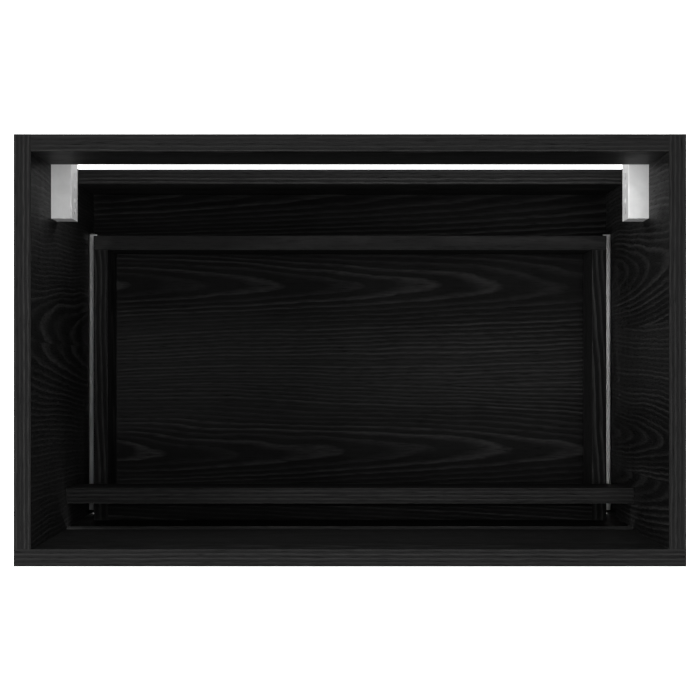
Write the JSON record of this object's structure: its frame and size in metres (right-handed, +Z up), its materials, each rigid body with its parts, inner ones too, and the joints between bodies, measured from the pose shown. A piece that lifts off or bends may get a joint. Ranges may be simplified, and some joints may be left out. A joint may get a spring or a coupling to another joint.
{
  "type": "washbasin drawer cabinet",
  "caption": "Wall-hung washbasin cabinet in black-stained oak, open at the top and rear, with a deep drawer on ball runners, a finger gap and adjustable steel hangers.",
  "frame": {"origin": "centre of the bounding box's floor: midway across the width and the depth, at the lower edge of the side panels", "axes": "+X to the right as seen from the front, +Y to the wall, +Z up"},
  "size_m": [0.7, 0.45, 0.5],
  "materials": {
    "stained_oak": "brushed oak veneer, stained near-black, matt lacquer",
    "oak_edge": "oak edge strip, stained near-black, matt lacquer",
    "runner_steel": "satin",
    "hanger_steel": "zinc-plated sheet",
    "screw_steel": "zinc-plated",
    "ball_steel": "polished",
    "dowel_wood": "plain beech",
    "bumper_rubber": "matt"
  },
  "bodies": {
    "cabinet": {"left_side_panel": "stained_oak", "right_side_panel": "stained_oak", "bottom_panel": "stained_oak", "rear_top_rail": "stained_oak", "back_board": "stained_oak", "front_traverse": "stained_oak", "upper_front_panel": "stained_oak", "left_side_top_band": "oak_edge", "right_side_top_band": "oak_edge", "rear_rail_top_band": "oak_edge", "back_board_top_band": "oak_edge", "traverse_top_band": "oak_edge", "upper_front_top_band": "oak_edge", "carcass_dowels": "dowel_wood", "cam_housings": "screw_steel", "cam_bolts": "screw_steel", "drawer_front_bumpers": "bumper_rubber", "left_hanger_casing": "hanger_steel", "right_hanger_casing": "hanger_steel", "hanger_fixing_screws": "screw_steel", "left_runner_cabinet_member": "runner_steel", "right_runner_cabinet_member": "runner_steel", "runner_cabinet_screws": "screw_steel"},
    "drawer": {"lower_drawer_front": "stained_oak", "lower_front_top_band": "oak_edge", "drawer_left_side": "stained_oak", "drawer_right_side": "stained_oak", "drawer_back": "stained_oak", "drawer_sub_front": "stained_oak", "drawer_floor": "stained_oak", "drawer_dowels": "dowel_wood", "drawer_front_screws": "screw_steel", "left_runner_drawer_member": "runner_steel", "right_runner_drawer_member": "runner_steel", "runner_drawer_screws": "screw_steel"},
    "left_runner_middle": {"left_runner_middle_member": "runner_steel"},
    "left_outer_balls": {"left_runner_outer_ball_cage": "runner_steel", "left_runner_outer_balls": "ball_steel"},
    "left_inner_balls": {"left_runner_inner_ball_cage": "runner_steel", "left_runner_inner_balls": "ball_steel"},
    "left_hanger_carriage": {"left_hanger_carriage": "hanger_steel"},
    "left_hanger_hook": {"left_hanger_hook": "hanger_steel"},
    "left_hanger_depth_screw": {"left_hanger_depth_screw": "screw_steel"},
    "left_hanger_height_screw": {"left_hanger_height_screw": "screw_steel"},
    "right_runner_middle": {"right_runner_middle_member": "runner_steel"},
    "right_outer_balls": {"right_runner_outer_ball_cage": "runner_steel", "right_runner_outer_balls": "ball_steel"},
    "right_inner_balls": {"right_runner_inner_ball_cage": "runner_steel", "right_runner_inner_balls": "ball_steel"},
    "right_hanger_carriage": {"right_hanger_carriage": "hanger_steel"},
    "right_hanger_hook": {"right_hanger_hook": "hanger_steel"},
    "right_hanger_depth_screw": {"right_hanger_depth_screw": "screw_steel"},
    "right_hanger_height_screw": {"right_hanger_height_screw": "screw_steel"}
  },
  "joints": [
    {"name": "drawer_slide", "type": "slide", "parent": "cabinet", "child": "drawer", "axis": [0, -1, 0], "range_m": [0, 0.35]},
    {"name": "left_runner_middle_slide", "type": "slide", "parent": "cabinet", "child": "left_runner_middle", "axis": [0, -1, 0], "range_m": [0, 0.175]},
    {"name": "left_outer_balls_slide", "type": "slide", "parent": "cabinet", "child": "left_outer_balls", "axis": [0, -1, 0], "range_m": [0, 0.0875]},
    {"name": "left_inner_balls_slide", "type": "slide", "parent": "cabinet", "child": "left_inner_balls", "axis": [0, -1, 0], "range_m": [0, 0.2625]},
    {"name": "left_hanger_depth_slide", "type": "slide", "parent": "cabinet", "child": "left_hanger_carriage", "axis": [0, -1, 0], "range_m": [-0.004, 0.008]},
    {"name": "left_hanger_depth_screw_turn", "type": "hinge", "parent": "cabinet", "child": "left_hanger_depth_screw", "pos_m": [-0.3192, 0.17, 0.36005], "axis": [0, 1, 0], "range_deg": [-2080, 4140]},
    {"name": "left_hanger_hook_slide", "type": "slide", "parent": "left_hanger_carriage", "child": "left_hanger_hook", "axis": [0, 0, 1], "range_m": [-0.0045, 0.0045]},
    {"name": "left_hanger_height_screw_turn", "type": "hinge", "parent": "left_hanger_carriage", "child": "left_hanger_height_screw", "pos_m": [-0.3192, 0.1835, 0.335], "axis": [0, 0, 1], "range_deg": [-2340, 2340]},
    {"name": "right_runner_middle_slide", "type": "slide", "parent": "cabinet", "child": "right_runner_middle", "axis": [0, -1, 0], "range_m": [0, 0.175]},
    {"name": "right_outer_balls_slide", "type": "slide", "parent": "cabinet", "child": "right_outer_balls", "axis": [0, -1, 0], "range_m": [0, 0.0875]},
    {"name": "right_inner_balls_slide", "type": "slide", "parent": "cabinet", "child": "right_inner_balls", "axis": [0, -1, 0], "range_m": [0, 0.2625]},
    {"name": "right_hanger_depth_slide", "type": "slide", "parent": "cabinet", "child": "right_hanger_carriage", "axis": [0, -1, 0], "range_m": [-0.004, 0.008]},
    {"name": "right_hanger_depth_screw_turn", "type": "hinge", "parent": "cabinet", "child": "right_hanger_depth_screw", "pos_m": [0.3192, 0.17, 0.36005], "axis": [0, 1, 0], "range_deg": [-2080, 4140]},
    {"name": "right_hanger_hook_slide", "type": "slide", "parent": "right_hanger_carriage", "child": "right_hanger_hook", "axis": [0, 0, 1], "range_m": [-0.0045, 0.0045]},
    {"name": "right_hanger_height_screw_turn", "type": "hinge", "parent": "right_hanger_carriage", "child": "right_hanger_height_screw", "pos_m": [0.3192, 0.1835, 0.335], "axis": [0, 0, 1], "range_deg": [-2340, 2340]}
  ],
  "couplings": [
    {"joint": "left_runner_middle_slide", "follows": "drawer_slide", "ratio": 0.5},
    {"joint": "left_outer_balls_slide", "follows": "drawer_slide", "ratio": 0.25},
    {"joint": "left_inner_balls_slide", "follows": "drawer_slide", "ratio": 0.75},
    {"joint": "left_hanger_depth_screw_turn", "follows": "left_hanger_depth_slide", "rad_per_m": 8976},
    {"joint": "left_hanger_height_screw_turn", "follows": "left_hanger_hook_slide", "rad_per_m": -8976},
    {"joint": "right_runner_middle_slide", "follows": "drawer_slide", "ratio": 0.5},
    {"joint": "right_outer_balls_slide", "follows": "drawer_slide", "ratio": 0.25},
    {"joint": "right_inner_balls_slide", "follows": "drawer_slide", "ratio": 0.75},
    {"joint": "right_hanger_depth_screw_turn", "follows": "right_hanger_depth_slide", "rad_per_m": 8976},
    {"joint": "right_hanger_height_screw_turn", "follows": "right_hanger_hook_slide", "rad_per_m": -8976}
  ]
}
